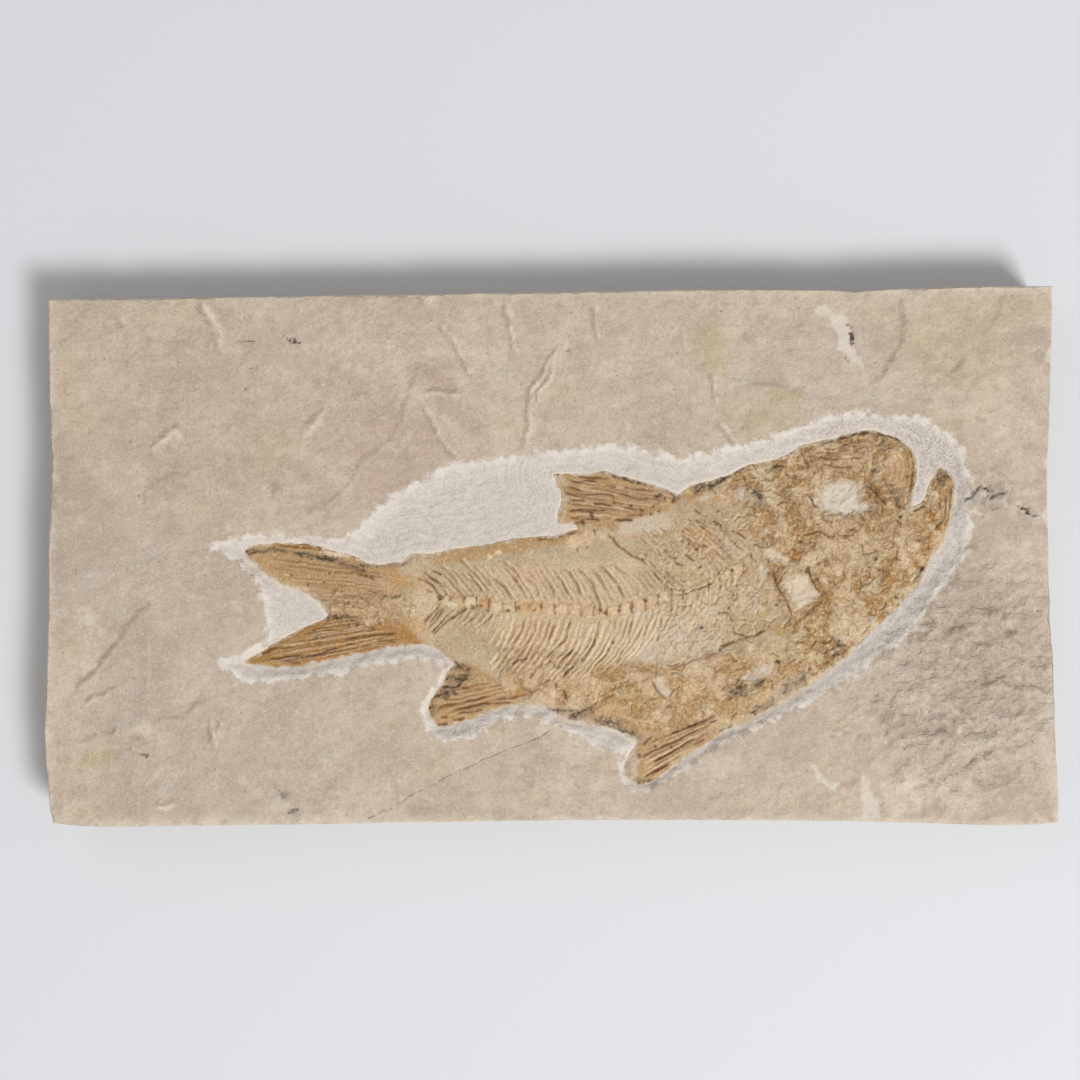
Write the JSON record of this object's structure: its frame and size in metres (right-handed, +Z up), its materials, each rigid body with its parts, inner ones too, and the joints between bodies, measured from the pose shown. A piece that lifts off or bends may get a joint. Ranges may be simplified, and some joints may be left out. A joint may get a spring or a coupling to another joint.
{
  "type": "fossil fish slab",
  "caption": "Trimmed pale limestone slab with a flattened fossil bony fish lying in a scraped recess in its split face.",
  "frame": {"origin": "middle of the slab's flat underside", "axes": "+X along the slab's length from the fish's tail to its head, +Y towards the edge above the fish's back, +Z up out of the face that shows the fish"},
  "size_m": [0.1218, 0.065, 0.0098],
  "materials": {
    "limestone": "matt split bedding face, warm beige, scraped to off-white round the fish",
    "fossil_bone": "matt to slightly waxy ochre-brown fossil bone with pale and black patches"
  },
  "bodies": {
    "root": {"slab": "limestone", "fish": "fossil_bone"}
  },
  "joints": []
}
